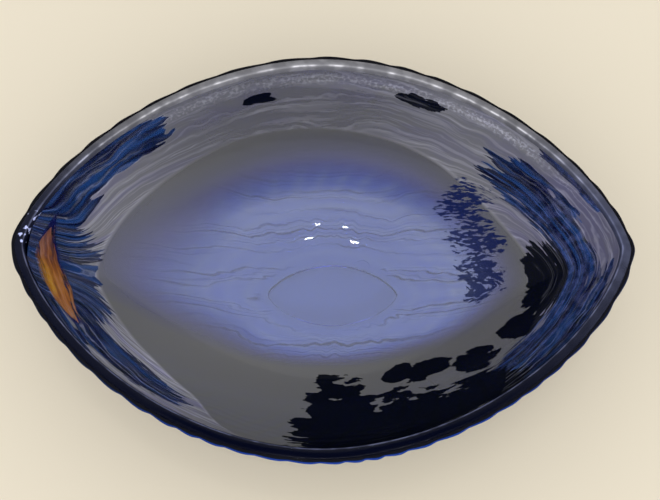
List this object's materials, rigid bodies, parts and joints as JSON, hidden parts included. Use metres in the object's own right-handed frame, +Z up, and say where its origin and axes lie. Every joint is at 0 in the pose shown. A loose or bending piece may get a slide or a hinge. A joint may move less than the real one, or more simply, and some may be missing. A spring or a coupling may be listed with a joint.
{
  "type": "art glass bowl",
  "caption": "Almond-shaped centrepiece bowl of cased glass: cobalt casing ribbed outside, clear lining smooth inside, beaded lip and a ground flat foot.",
  "frame": {"origin": "on the table, under the middle of the bowl's overall length and width", "axes": "+X along the length of the almond, +Y across it, +Z up out of the bowl's mouth"},
  "size_m": [0.3039, 0.2094, 0.085],
  "materials": {
    "foot_glass": "cobalt glass, sides fire polished, ground flat and polished underneath",
    "cobalt_glass": "transparent cobalt glass, glossy, ribbed and rippled outside",
    "amber_glass": "cloudy amber glass, streaky, seen through the clear lining",
    "clear_glass": "clear glass, fire polished, smooth",
    "lip_glass": "smoky clear glass, fire polished bead"
  },
  "bodies": {
    "root": {"foot_pad": "foot_glass", "cobalt_casing": "cobalt_glass", "amber_streak": "amber_glass", "clear_lining": "clear_glass", "lip_bead": "lip_glass"}
  },
  "joints": []
}
